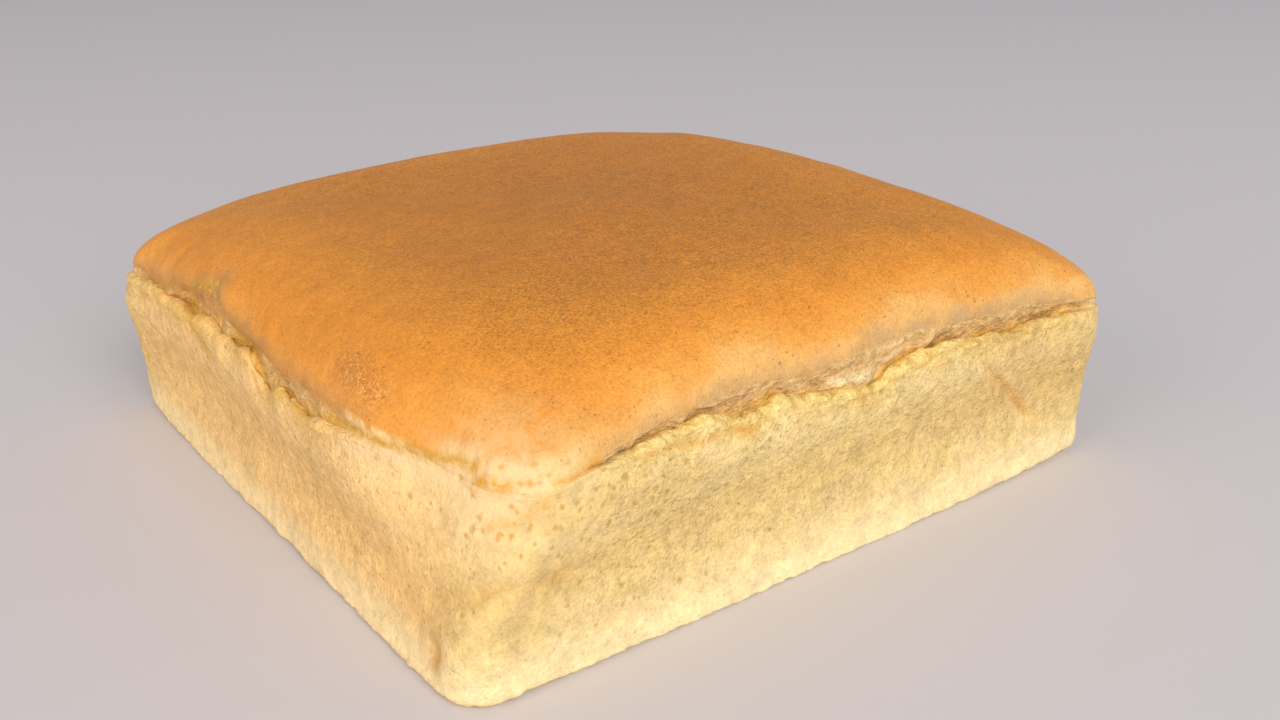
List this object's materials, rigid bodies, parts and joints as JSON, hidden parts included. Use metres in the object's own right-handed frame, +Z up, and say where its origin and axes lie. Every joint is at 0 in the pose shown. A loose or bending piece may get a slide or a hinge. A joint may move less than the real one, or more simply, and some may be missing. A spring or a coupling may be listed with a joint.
{
  "type": "castella sponge cake",
  "caption": "Whole square castella sponge cake with pale crumb sides, a torn crack under the crust and a smooth domed brown top, standing on its flat base.",
  "frame": {"origin": "middle of the flat base, at the height of the table", "axes": "+Z up, -Y out of the front side, -X out of the left side"},
  "size_m": [0.2006, 0.2008, 0.0685],
  "materials": {
    "sponge": "matte baked sponge, browned on top and pale yellow at the sides"
  },
  "bodies": {
    "root": {"sponge_cake": "sponge"}
  },
  "joints": []
}
